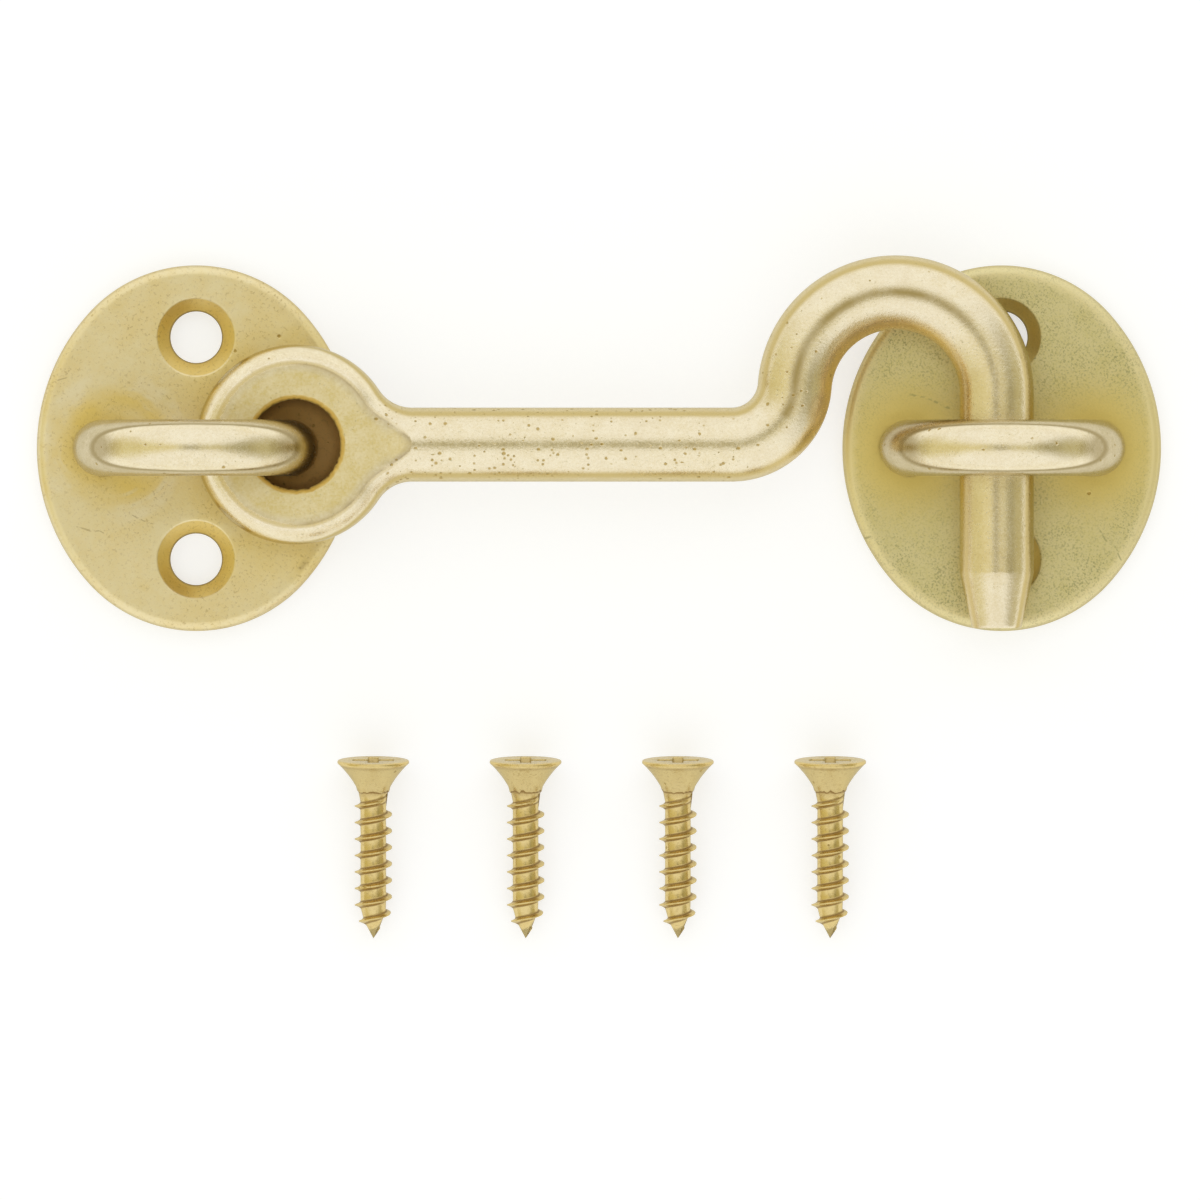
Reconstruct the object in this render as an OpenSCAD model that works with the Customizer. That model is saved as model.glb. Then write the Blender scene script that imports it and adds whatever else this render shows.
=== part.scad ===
// Hook and eye latch (cabin hook) in satin brass, laid out flat with its four wood screws.
// The origin is the centre of the hook plate's back face. +X runs to the keep, +Z out of the plates.

/* [Plates] */
// Long axis of each oval plate
plate_length = 32.6; // [30:0.1:38]
// Short axis of each oval plate
plate_width = 28.4; // [26:0.1:29.6]
// Thickness of each plate
plate_t = 2.2; // [1.8:0.1:3.5]
// Rounding of the plate's front edge
plate_edge_r = 1; // [0.4:0.1:1.5]

/* [Screw holes] */
// Distance between the two screw holes of a plate
hole_spacing = 19.8; // [18.5:0.1:21]
// Diameter of a screw hole
hole_d = 4.6; // [3.8:0.1:5]
// Diameter of the countersink at the plate's face
countersink_d = 6.9; // [6.6:0.1:7.5]

/* [Staples] */
// Diameter of the staple's wire
wire_d = 5; // [4:0.1:5.5]
// Distance between the centres of the staple's two legs
leg_spacing = 16.8; // [16.2:0.1:18.4]
// Straight height of the legs, from the plate's face to the arch
leg_height = 4; // [3.8:0.1:8]
// Diameter of the tenon that goes through the plate
tenon_d = 3.8; // [3:0.1:4.2]
// Depth of the riveted end in the back of the plate
rivet_depth = 0.7; // [0.4:0.1:1]

/* [Hook] */
// Diameter of the hook's rod
rod_d = 6.6; // [5.5:0.1:7]
// Outer diameter of the eye
eye_d = 17.8; // [16:0.1:19]
// Diameter of the eye's bore
eye_bore_d = 8; // [7:0.1:8.6]
// Depth of the eye's two flats below the rod's crown
flat_depth = 0.3; // [0.1:0.05:0.6]
// Width of the bevel at the edge of the eye's bore
bore_bevel = 0.3; // [0.1:0.1:0.6]
// Radius of the hollow neck between the eye and the rod
neck_r = 3.5; // [2.5:0.1:5]
// Length over which the eye's flat rises into the rod's crown
flat_runout = 2; // [1:0.1:3]
// Distance from the eye's centre to the start of the first bend
shank_length = 38.8; // [37.8:0.1:40]
// Centre-line radius of the first bend
bend_r = 5.65; // [5:0.05:7]
// Angle through which the first bend turns the rod
rise_angle = 85.7; // [80:0.1:90]
// Centre-line radius of the arch
arch_r = 9; // [8.4:0.1:9.6]
// Length of the straight leg from the arch to the flat end of the tip
hook_leg_length = 20.9; // [16:0.1:23]
// Length of the tapered tip
tip_length = 4.9; // [3:0.1:7]
// Diameter of the tip's flat end
tip_d = 4.4; // [3:0.1:5]

/* [Screws] */
// Overall length of a screw
screw_length = 16; // [14:0.5:20]
// Diameter of the head
head_d = 6.4; // [6:0.1:6.6]
// Height of the head with its curved underside
head_h = 2.8; // [2.4:0.1:3.2]
// Thickness of the head's rim
head_rim = 0.25; // [0.1:0.05:0.5]
// How far the head's underside curves in
head_hollow = 0.18; // [0:0.02:0.3]
// Diameter of the plain neck under the head
screw_neck_d = 2.7; // [2.6:0.1:3]
// Diameter over the thread
thread_d = 3.35; // [3:0.05:3.6]
// Diameter of the core
core_d = 2.3; // [2:0.1:2.5]
// Pitch of the thread
thread_pitch = 1.48; // [1.2:0.02:1.8]
// Width of the thread's crest
thread_crest = 0.14; // [0.08:0.02:0.2]
// Width of one flank of the thread
thread_flank = 0.32; // [0.2:0.02:0.4]
// Length of the tapered point
point_length = 2.9; // [2:0.1:4]
// Width of an arm of the cross recess
recess_arm = 0.95; // [0.7:0.05:1.2]
// Span of the cross recess at the face of the head
recess_span = 3.6; // [3:0.1:4]
// Depth of the cross recess
recess_depth = 1.8; // [1.2:0.1:2]

/* [Layout] */
// Gap under the hook's rod where it lies over the plates
lie_gap = 0.3; // [0.2:0.05:0.6]
// How far the eye's centre lies beyond the leg that it hangs on
eye_slack = 0.5; // [0:0.1:0.9]
// How far the eye's centre lies above the plates' centre line
eye_rise = 0.3; // [-0.4:0.1:0.4]
// How far the keep's centre lies beyond the middle of the hook's leg
keep_offset = 0.5; // [-1:0.1:1.5]
// Place of the first screw along the latch
first_screw_x = 15.8; // [10:0.1:20]
// Distance between the screws
screw_spacing = 13.57; // [10:0.01:14]
// Distance from the plates' centre line to the screws' heads
screw_row = 27.8; // [26:0.1:40]

/* [Hidden] */
$fn = 96;

// Working clearances, and the hair by which blended forms bite into each other
fit_gap = 0.05;
cut = 1;
bite = 0.02;

// Oval of four arcs: end arcs on the long axis meet side arcs on the short axis
end_share = 0.62;
half_length = plate_length / 2;
half_width = plate_width / 2;
end_r = half_width - end_share * (half_length - half_width);
end_y = half_length - end_r;
touch_r = end_r - 2 * bite;
side_x = (end_y * end_y - pow(half_width - touch_r, 2)) / (2 * (half_width - touch_r));
side_r = half_width + side_x;
meet_y = end_y * side_r / (side_r - touch_r);

countersink_depth = (countersink_d - hole_d) / 2;
loop_r = leg_spacing / 2;
rivet_d = tenon_d + 2 * rivet_depth;

// Hook: the neck's hollow meets the eye's circle and the rod
rod_r = rod_d / 2;
eye_r = eye_d / 2;
neck_reach = eye_r + neck_r - bite;
neck_y = rod_r + neck_r - bite;
neck_x = sqrt(neck_reach * neck_reach - neck_y * neck_y);
neck_angle = atan2(neck_y, neck_x);
neck_depth = (eye_r - rod_r - eye_bore_d / 2) / 2;
flat_z = rod_r - flat_depth;
facing = flat_depth / 3;
arch_x = shank_length + (bend_r + arch_r) * sin(rise_angle);
arch_y = bend_r - (bend_r + arch_r) * cos(rise_angle);
arch_lap = asin(bite / arch_r);
eye_x = loop_r + eye_slack;
plate_spacing = eye_x + arch_x + arch_r + keep_offset;
hook_z = plate_t + lie_gap + rod_r;

// Screws: each lies on its head's rim and on the last full turn of its thread
head_r = head_d / 2;
thread_r = thread_d / 2;
core_r = core_d / 2;
full_length = screw_length - point_length;
lie_angle = atan((head_r - thread_r) / (full_length - head_rim));
lie_height = head_r * cos(lie_angle) + head_rim * sin(lie_angle);
thread_start = head_h + thread_pitch / 8;
thread_point_share = 0.6;
thread_end = full_length + thread_point_share * point_length;
thread_steps = 18;
thread_count = floor((thread_end - thread_start) / thread_pitch * thread_steps);
thread_fade = thread_steps / 2;
screw_neck_r = screw_neck_d / 2;
shank_lap = head_h / 6;

brass = [0.83, 0.76, 0.54];
bright_brass = [0.89, 0.82, 0.63];

// Half section of a plate out to the radius r, with its front edge rounded
module plate_section(r) {
    square([r - plate_edge_r, plate_t]);
    square([r, plate_t - plate_edge_r]);
    translate([r - plate_edge_r, plate_t - plate_edge_r]) circle(plate_edge_r);
}

module oval_plate() {
    intersection() {
        translate([side_x, 0, 0]) rotate_extrude() plate_section(side_r);
        translate([-side_x, 0, 0]) rotate_extrude() plate_section(side_r);
        union() {
            for (side = [-1, 1]) translate([0, side * end_y, 0]) rotate_extrude() plate_section(end_r);
            translate([-plate_width, -meet_y, 0]) cube([2 * plate_width, 2 * meet_y, plate_t]);
        }
    }
}

module screw_hole() {
    translate([0, 0, -cut]) cylinder(d = hole_d, h = plate_t + 2 * cut);
    translate([0, 0, plate_t - countersink_depth])
        cylinder(d1 = hole_d, d2 = countersink_d + 2 * cut, h = countersink_depth + cut);
}

module tenon_hole() {
    translate([0, 0, -cut]) cylinder(d = tenon_d + 2 * fit_gap, h = plate_t + 2 * cut);
    translate([0, 0, -cut])
        cylinder(d1 = rivet_d + 2 * (fit_gap + cut), d2 = tenon_d + 2 * fit_gap, h = rivet_depth + cut);
}

module plate() {
    color(brass) difference() {
        oval_plate();
        for (side = [-1, 1]) translate([0, side * hole_spacing / 2, 0]) screw_hole();
        for (side = [-1, 1]) translate([side * loop_r, 0, 0]) tenon_hole();
    }
}

// Leg with a shoulder on the plate's face and a tenon riveted into the plate's back
module staple_leg() {
    translate([0, 0, plate_t]) cylinder(d = wire_d, h = leg_height);
    cylinder(d = tenon_d, h = plate_t);
    cylinder(d1 = rivet_d, d2 = tenon_d, h = rivet_depth);
}

module staple() {
    color(bright_brass) {
        translate([0, 0, plate_t + leg_height]) rotate([90, 0, 0])
            rotate_extrude(angle = 180) translate([loop_r, 0]) circle(d = wire_d);
        for (side = [-1, 1]) translate([side * loop_r, 0, 0]) staple_leg();
    }
}

// Half section of the eye with a full-round rim, higher than its finished flats
module eye_section() {
    intersection() {
        union() {
            translate([eye_r - rod_r, 0]) circle(rod_r);
            translate([0, -rod_r]) square([eye_r - rod_r, rod_d]);
        }
        translate([0, -flat_z - facing]) square([eye_r + cut, 2 * (flat_z + facing)]);
    }
}

// Section of the neck: the same round rim, turned to face the centre of the hollow
module neck_section() {
    intersection() {
        translate([neck_r + rod_r, 0]) {
            circle(rod_r);
            translate([0, -rod_r]) square([rod_r, rod_d]);
        }
        translate([0, -flat_z - facing / 2]) square([neck_r + rod_r + neck_depth, 2 * flat_z + facing]);
    }
}

module neck_half() {
    translate([neck_x, neck_y, 0]) rotate(180 + neck_angle)
        rotate_extrude(angle = 90 - neck_angle) neck_section();
}

// Takes the rim's crown down to the eye's flat and runs out on the rod
module eye_facing() {
    for (face = [0, 1]) mirror([0, 0, face])
        translate([0, 0, flat_z]) cylinder(
            r1 = neck_x - flat_runout,
            r2 = neck_x - flat_runout + flat_runout * cut / flat_depth, h = cut);
}

module eye_bore() {
    translate([0, 0, -rod_d]) cylinder(d = eye_bore_d, h = 2 * rod_d);
    for (face = [0, 1]) mirror([0, 0, face]) translate([0, 0, flat_z - bore_bevel])
        cylinder(d1 = eye_bore_d, d2 = eye_bore_d + 2 * (bore_bevel + cut), h = bore_bevel + cut);
}

module eye_and_shank() {
    difference() {
        union() {
            rotate_extrude() eye_section();
            neck_half();
            mirror([0, 1, 0]) neck_half();
            translate([eye_r - rod_r, 0, 0]) rotate([0, 90, 0])
                cylinder(r = rod_r, h = shank_length - eye_r + rod_r);
        }
        eye_facing();
        eye_bore();
    }
}

// Bent rod that starts on +X and laps past both ends by an angle
module rod_bend(r, angle, lap, section_r) {
    rotate(-lap) rotate_extrude(angle = angle + 2 * lap) translate([r, 0]) circle(section_r);
}

// The S-bend of two tangent arcs, the straight leg and its tapered tip
module crook() {
    translate([shank_length, bend_r, 0]) rotate(-90) rod_bend(bend_r, rise_angle, 0, rod_r);
    translate([arch_x, arch_y, 0]) {
        rod_bend(arch_r, 90 + rise_angle, arch_lap, rod_r - bite / 2);
        translate([arch_r, 0, 0]) rotate([90, 0, 0]) {
            cylinder(r = rod_r, h = hook_leg_length - tip_length);
            translate([0, 0, hook_leg_length - tip_length])
                cylinder(r1 = rod_r, d2 = tip_d, h = tip_length);
        }
    }
}

module hook() {
    color(bright_brass) translate([eye_x, eye_rise, hook_z]) {
        eye_and_shank();
        crook();
    }
}

// Half section of a screw's head: flat face, rim, hollow underside and plain neck
module head_section() {
    polygon([
        [0, 0],
        [head_r, 0],
        for (step = [0 : 8]) let (part = step / 8, hollow = 4 * head_hollow * part * (1 - part))
            [head_r + (screw_neck_r - head_r) * part - hollow, -head_rim - (head_h - head_rim) * part],
        [0, -head_h]
    ]);
}

module cross_recess() {
    intersection() {
        for (turn = [0, 90]) rotate(turn)
            translate([-recess_arm / 2, -recess_span / 2, -recess_depth])
                cube([recess_arm, recess_span, recess_depth + cut]);
        translate([0, 0, -recess_depth]) cylinder(
            d1 = recess_arm, d2 = recess_span + (recess_span - recess_arm) * cut / recess_depth,
            h = recess_depth + cut);
    }
}

// Core radius at a depth below the head's face, which rounds off over the point
function core_at(depth) = core_r * (1 - pow(max(0, (depth - full_length) / point_length), 1.5));

// Point of the screw at a step of its helix, turned clockwise as it goes down
function helix_point(step, r, depth) =
    let (turn = -360 * step / thread_steps) [r * cos(turn), r * sin(turn), -depth];

// One step of the thread: root, both edges of the crest, and root again
function thread_step(step) =
    let (
        depth = thread_start + thread_pitch * step / thread_steps,
        height = (thread_r - core_r) * min(1, step / thread_fade, (thread_count + 4 - step) / thread_fade),
        offsets = [0, thread_flank, thread_flank + thread_crest, 2 * thread_flank + thread_crest]
    )
    [for (k = [0 : 3]) let (d = depth + offsets[k], rise = (k == 1 || k == 2) ? height : 0)
        helix_point(step, core_at(d) + rise, d)];

// Two triangles between an upper and a lower edge, given by the ends of each edge
function strip(upper, upper_next, lower, lower_next) =
    [[upper_next, upper, lower], [upper_next, lower, lower_next]];

// Core and thread as one helical skin: the foot of each turn is the root of the next
module threaded_shank() {
    turn = 4 * thread_steps;
    last = 4 * thread_count;
    ring = last + 4;
    tip = ring + thread_steps;
    seam = turn - 4;
    polyhedron(
        points = [
            for (step = [0 : thread_count]) each thread_step(step),
            for (step = [0 : thread_steps - 1]) helix_point(step, core_r, head_h - shank_lap),
            [0, 0, -screw_length]
        ],
        faces = [
            [for (step = [0 : thread_steps - 1]) ring + step],
            for (step = [0 : thread_steps - 2])
                each strip(ring + step, ring + step + 1, 4 * step, 4 * step + 4),
            for (edge = [[turn, 3], [3, 2], [2, 1], [1, 0], [0, ring], [ring, tip - 1]])
                [seam, edge[0], edge[1]],
            for (at = [0 : 4 : last - 4], k = [0 : 2])
                each strip(at + k, at + k + 4, at + k + 1, at + k + 5),
            for (at = [0 : 4 : last - turn - 4])
                each strip(at + 3, at + 7, at + turn, at + turn + 4),
            for (at = [last - turn : 4 : last - 4]) [at + 7, at + 3, tip],
            [tip, last - turn + 3, last],
            for (k = [0 : 2]) [tip, last + k, last + k + 1]
        ]);
}

module screw(place) {
    color(brass) translate([first_screw_x + (place - 1) * screw_spacing, -screw_row, lie_height])
        rotate([lie_angle - 90, 0, 0]) {
            difference() {
                rotate_extrude() head_section();
                cross_recess();
            }
            threaded_shank();
        }
}

plate();  // hook_plate
staple();  // hook_staple
hook();
translate([plate_spacing, 0, 0]) plate();  // keep_plate
translate([plate_spacing, 0, 0]) staple();  // keep_staple
screw(1);  // screw_1
screw(2);  // screw_2
screw(3);  // screw_3
screw(4);  // screw_4
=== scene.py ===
# Cabin hook in satin brass, laid out flat with its keep and four wood screws
import math

import bmesh
import bpy
import numpy as np
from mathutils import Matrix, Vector, noise
from mathutils.geometry import delaunay_2d_cdt


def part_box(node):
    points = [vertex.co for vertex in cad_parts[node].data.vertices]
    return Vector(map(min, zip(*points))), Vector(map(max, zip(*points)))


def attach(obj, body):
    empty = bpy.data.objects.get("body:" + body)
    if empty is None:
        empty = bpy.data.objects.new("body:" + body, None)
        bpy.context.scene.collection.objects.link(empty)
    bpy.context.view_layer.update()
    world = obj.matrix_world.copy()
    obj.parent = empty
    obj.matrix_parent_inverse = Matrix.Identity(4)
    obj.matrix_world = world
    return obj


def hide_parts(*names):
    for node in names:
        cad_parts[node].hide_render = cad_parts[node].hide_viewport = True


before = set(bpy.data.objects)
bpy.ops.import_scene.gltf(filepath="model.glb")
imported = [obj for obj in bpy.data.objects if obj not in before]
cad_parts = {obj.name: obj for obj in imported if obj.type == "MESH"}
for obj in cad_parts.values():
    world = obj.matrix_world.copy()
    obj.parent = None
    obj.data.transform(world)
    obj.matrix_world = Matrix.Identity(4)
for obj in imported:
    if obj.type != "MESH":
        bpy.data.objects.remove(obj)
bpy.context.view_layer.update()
mm = 0.001
print("frame loaded:", len(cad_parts), "nodes")


def clamp(value):
    return min(1.0, max(0.0, value))


def bell(offset, width):
    return math.exp(-(offset / width) ** 2)


def lumps(x, y, z):
    return noise.noise(Vector((x, y, z)))


# A skin collects points in millimetres, each with five marks that the finishes read
markNames = ("golden", "dirtAndShade", "pitted", "matte", "warm")


class Skin:
    def __init__(self):
        self.points = []
        self.faces = []

    def add(self, x, y, z, golden=0.0, dirtAndShade=0.0, pitted=0.2, matte=0.0, warm=0.0):
        self.points.append((x, y, z, golden, dirtAndShade, pitted, matte, warm))
        return len(self.points) - 1

    def loft(self, rows, closed=True):
        for a, b in zip(rows, rows[1:]):
            count = len(a)
            for j in range(count if closed else count - 1):
                k = (j + 1) % count
                self.faces.append((a[j], a[k], b[k], b[j]))

    def fan(self, row, tip):
        for j in range(len(row)):
            self.faces.append((row[j], row[(j + 1) % len(row)], tip))

    # welds points that coincide, turns the faces outwards and makes the object
    def toObject(self, name, place):
        table = np.array(self.points)
        spots = np.round(table[:, :3], 4)
        _, first, inverse = np.unique(spots, axis=0, return_index=True, return_inverse=True)
        inverse = inverse.reshape(-1)
        kept = table[first]
        faces = []
        for face in self.faces:
            loop = [int(inverse[i]) for i in face]
            loop = [v for i, v in enumerate(loop) if v != loop[i - 1]]
            if len(loop) > 2 and len(set(loop)) == len(loop):
                faces.append(loop)
        mesh = bpy.data.meshes.new(name)
        mesh.from_pydata((place(kept[:, :3]) * mm).tolist(), [], faces)
        bm = bmesh.new()
        bm.from_mesh(mesh)
        bmesh.ops.recalc_face_normals(bm, faces=bm.faces)
        bm.to_mesh(mesh)
        bm.free()
        for number, mark in enumerate(markNames):
            layer = mesh.attributes.new(mark, "FLOAT", "POINT")
            layer.data.foreach_set("value", kept[:, 3 + number].astype(np.float32))
        mesh.shade_smooth()
        obj = bpy.data.objects.new(name, mesh)
        bpy.context.scene.collection.objects.link(obj)
        return obj


# puts a finished piece on its body, in place of its node
def dress(obj, node, body, material):
    obj.data.materials.append(material)
    flats = obj.modifiers.new("flatFaces", "WEIGHTED_NORMAL")
    flats.mode = "FACE_AREA_WITH_ANGLE"
    flats.weight = 60
    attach(obj, body)
    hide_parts(node)
    print(obj.name, "made:", len(obj.data.polygons), "faces")


def insideLoop(x, y, loop):
    inside = False
    for (ax, ay), (bx, by) in zip(loop, loop[1:] + loop[:1]):
        if (ay > y) != (by > y) and x < (bx - ax) * (y - ay) / (by - ay) + ax:
            inside = not inside
    return inside


# fills a flat face between an outer loop and its holes, with a grid of points inside
gridShape = dict(rowShare=0.866, edgeShare=0.6)  # height of a row, and room left along the loops


def fillFace(skin, outer, holes, spacing, level, marks):
    ids, edges, owner = [], [], []
    for number, loop in enumerate([outer] + holes):
        start = len(ids)
        edges += [(start + i, start + (i + 1) % len(loop)) for i in range(len(loop))]
        ids += loop
        owner += [number] * len(loop)
    flat = [Vector(skin.points[i][:2]) for i in ids]
    rings = [[skin.points[i][:2] for i in loop] for loop in [outer] + holes]
    xs = [p[0] for p in rings[0]]
    ys = [p[1] for p in rings[0]]
    edgePoints = np.array([p[:] for p in flat])
    rowShare = gridShape["rowShare"]
    rows = int((max(ys) - min(ys)) / (spacing * rowShare))
    for row in range(rows + 1):
        y = min(ys) + row * spacing * rowShare
        for column in range(int((max(xs) - min(xs)) / spacing) + 1):
            x = min(xs) + (column + 0.5 * (row % 2)) * spacing
            toEdge = np.min(np.hypot(edgePoints[:, 0] - x, edgePoints[:, 1] - y))
            if toEdge < spacing * gridShape["edgeShare"]:
                continue
            if insideLoop(x, y, rings[0]) and not any(insideLoop(x, y, ring) for ring in rings[1:]):
                ids.append(skin.add(x, y, level(x, y), *marks(x, y)))
                owner.append(-1)
                flat.append(Vector((x, y)))
    spots, _, faces, source, _, _ = delaunay_2d_cdt(flat, edges, [], 0, 1e-7)
    for face in faces:
        corners = [source[v][0] for v in face]
        owners = {owner[c] for c in corners}
        if len(owners) == 1 and owners != {-1}:
            ring = rings[owners.pop()]
            cx = sum(spots[v].x for v in face) / 3
            cy = sum(spots[v].y for v in face) / 3
            if (ring is rings[0]) != insideLoop(cx, cy, ring):
                continue
        skin.faces.append([ids[c] for c in corners])


# Oval plate with rounded front edge, countersunk holes and riveted tenon holes
plateShape = dict(
    length=32.6, width=28.4, thickness=2.2, edgeRound=0.85, endShare=0.62, arcSteps=44,
    holeSpacing=19.8, holeRadius=2.3, sinkRadius=3.45, tenonSpacing=16.8, tenonRadius=1.95, rivetRadius=2.65,
    rivetDepth=0.7, waveHeight=0.012, waveScale=0.22, edgeShade=0.2, edgeShadeStart=0.72, holeSteps=72,
    faceGrid=0.5)


def ovalLoop(s, inset):
    halfLength, halfWidth, steps = s["length"] / 2, s["width"] / 2, s["arcSteps"]
    endRadius = halfWidth - s["endShare"] * (halfLength - halfWidth)
    endY = halfLength - endRadius
    narrow = halfWidth - endRadius
    sideX = (endY ** 2 - narrow ** 2) / (2 * narrow)
    sideRadius = halfWidth + sideX
    seam = math.atan2(endY, sideX)
    half = []
    for i in range(steps):
        a = -seam + 2 * seam * i / steps
        half.append(((sideRadius - inset) * math.cos(a) - sideX, (sideRadius - inset) * math.sin(a)))
    for i in range(2 * steps):
        a = seam + (math.pi - 2 * seam) * i / (2 * steps)
        half.append(((endRadius - inset) * math.cos(a), endY + (endRadius - inset) * math.sin(a)))
    return half + [(-x, -y) for x, y in half]


def buildPlate(name, centreX, marks, seed):
    s = plateShape
    t, r = s["thickness"], s["edgeRound"]
    skin = Skin()

    # the front face is never quite flat
    def faceLevel(x, y):
        wave = s["waveHeight"] * lumps(x * s["waveScale"], y * s["waveScale"], seed)
        return t + wave - s["waveHeight"]

    # rim from the back to the front: inset, height, and how much painted shade darkens it, full on the side
    # and fading up the rounded edge
    side = ((0.16, 0.0), (0.05, 0.045), (0.0, 0.15), (0.0, (t - r) * 0.5), (0.0, t - r))
    rim = [(inset, z, s["edgeShade"]) for inset, z in side]
    for a in np.radians(np.arange(9, 91, 9)):
        rimShade = s["edgeShade"] * clamp((s["edgeShadeStart"] - math.sin(a)) / 0.2)
        rim.append((r * (1 - math.cos(a)), t - r + r * math.sin(a), rimShade))
    rows = []
    for inset, z, rimShade in rim:
        row = []
        for x, y in ovalLoop(s, inset):
            golden, dirtAndShade, *others = marks(x, y)
            row.append(skin.add(x, y, z, golden, max(dirtAndShade, rimShade), *others))
        rows.append(row)
    skin.loft(rows)
    outerTop, outerBack = rows[-1], rows[0]

    # holes from the front to the back: radius, height, golden, and the painted shade that darkens the holes'
    # inner edges and walls
    sink, hole = s["sinkRadius"], s["holeRadius"]
    drop = sink - hole
    screwProfile = [
        (sink + 0.13, t, 0.0, 0.0), (sink + 0.06, t - 0.012, 0.0, 0.0), (sink, t - 0.05, 0.1, 0.0),
        (sink - 0.06, t - 0.11, 0.75, 0.0), (sink - 0.5 * drop, t - 0.5 * drop, 0.85, 0.0),
        (hole + 0.17, t - drop + 0.17, 0.85, 0.0), (hole + 0.07, t - drop + 0.06, 0.9, 0.5),
        (hole + 0.01, t - drop - 0.04, 1.0, 0.9),
        (hole, t - drop - 0.12, 0.8, 0.5), (hole, 0.14, 0.6, 0.2), (hole + 0.05, 0.03, 0.3, 0.0),
        (hole + 0.14, 0.0, 0.0, 0.0)]
    tenon, rivet = s["tenonRadius"], s["rivetRadius"]
    tenonProfile = [(radius, t, 0.0, 0.0) for radius in (3.6, 3.2, 2.95, 2.75, 2.6, 2.5, 2.35)]
    tenonProfile += [
        (tenon + 0.05, t, 0.6, 1.0), (tenon, t - 0.05, 0.6, 1.0), (tenon, s["rivetDepth"], 0.5, 1.0),
        (rivet - 0.05, 0.05, 0.3, 0.8), (rivet + 0.03, 0.0, 0.1, 0.4)]
    centres = [(0, 1, screwProfile), (0, -1, screwProfile), (1, 0, tenonProfile), (-1, 0, tenonProfile)]
    topHoles, backHoles = [], []
    for sideX, sideY, profile in centres:
        cx, cy = sideX * s["tenonSpacing"] / 2, sideY * s["holeSpacing"] / 2
        rows = []
        for radius, z, golden, dirtAndShade in profile:
            ring = []
            for i in range(s["holeSteps"]):
                a = 2 * math.pi * i / s["holeSteps"]
                x, y = cx + radius * math.cos(a), cy + radius * math.sin(a)
                face = marks(x, y) if z == t else (0, 0, 0, 0, 0)
                ring.append(skin.add(x, y, z, max(golden, face[0]), max(dirtAndShade, face[1]), *face[2:]))
            rows.append(ring)
        skin.loft(rows)
        topHoles.append(rows[0])
        backHoles.append(rows[-1])
    fillFace(skin, outerTop, topHoles, s["faceGrid"], faceLevel, marks)
    fillFace(skin, outerBack, backHoles, 3 * s["faceGrid"], lambda x, y: 0.0, lambda x, y: (0.3, 0.0))
    return skin.toObject(name, lambda p: p + np.array([centreX, 0, 0]))


# painted shade: crowns stay pale, steep sides and undersides are darker by their tilt, partly as a patina,
# darkest in a painted line where the pale crown ends
def sideShadeAndPatina(up, most=1.0, ease=0.42, start=0.74, span=0.14):
    rise = clamp((start - up) / span)
    fall = clamp((start - 1.4 * span - up) / (1.4 * span))
    return most * (rise * rise * (3 - 2 * rise) - ease * fall * fall * (3 - 2 * fall))


# Half-ring staple of round wire with shouldered legs, tenons and riveted ends
stapleShape = dict(
    loopRadius=8.4, wireRadius=2.5, plateThickness=2.2, legHeight=4.0, tenonRadius=1.9, rivetRadius=2.6,
    rivetDepth=0.7, shoulder=0.16, swell=0.006, swellScale=0.5, endShadeAbove=0.57, endShade=0.8,
    ringSteps=128, archSteps=120, legSteps=8)


def buildStaple(name, centreX, seed):
    s = stapleShape
    skin = Skin()
    t, wire, shoulder, steps = s["plateThickness"], s["wireRadius"], s["shoulder"], s["legSteps"]
    archZ = t + s["legHeight"]
    leg = [  # height and radius
        (0.0, s["rivetRadius"] - 0.06), (0.06, s["rivetRadius"] - 0.05), (s["rivetDepth"], s["tenonRadius"]),
        (t - 0.02, s["tenonRadius"]), (t, wire - shoulder), (t + 0.05, wire - 0.05), (t + shoulder, wire)]
    leg += [(t + shoulder + (s["legHeight"] - shoulder) * i / steps, wire) for i in range(1, steps)]
    stations = [(0.0, z, r) for z, r in leg]
    stations += [(math.pi * i / s["archSteps"], archZ, wire) for i in range(s["archSteps"] + 1)]
    stations += [(math.pi, z, r) for z, r in reversed(leg)]
    rows = []
    for turn, z, r in stations:
        outX, outZ = -math.cos(turn), math.sin(turn)
        # painted contact shadow round the foot of each leg where it meets the plate, and on the tenon below
        legFootShade = 1.0 if z < t + 0.1 else 0.0
        row = []
        for i in range(s["ringSteps"]):
            b = 2 * math.pi * i / s["ringSteps"]
            reach = s["loopRadius"] + r * math.cos(b)
            x, y, zz = outX * reach, r * math.sin(b), z + outZ * reach
            if z >= t + shoulder:
                scale = s["swellScale"]
                swell = 1 + s["swell"] * lumps(x * scale, y * scale, zz * scale + seed)
                reach = s["loopRadius"] + r * swell * math.cos(b)
                x, y, zz = outX * reach, r * swell * math.sin(b), z + outZ * reach
            # painted shade: a dark line where the pale crown ends, and darker loop ends where the top of the
            # wire tilts towards them
            up, aside = outZ * math.cos(b), abs(outX) * math.cos(b)
            golden = sideShadeAndPatina(up, ease=0.44, start=0.62, span=0.05)
            if up > s["endShadeAbove"]:
                golden = max(golden, s["endShade"] * clamp((aside - 0.58) / 0.14))
            row.append(skin.add(x, y, zz, golden, legFootShade))
        rows.append(row)
    skin.loft(rows)
    for row in (rows[0], rows[-1]):  # riveted ends
        x = sum(skin.points[i][0] for i in row) / len(row)
        skin.fan(row, skin.add(x, 0, 0.0, 0.2, 0.0))
    return skin.toObject(name, lambda p: p + np.array([centreX, 0, 0]))


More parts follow.
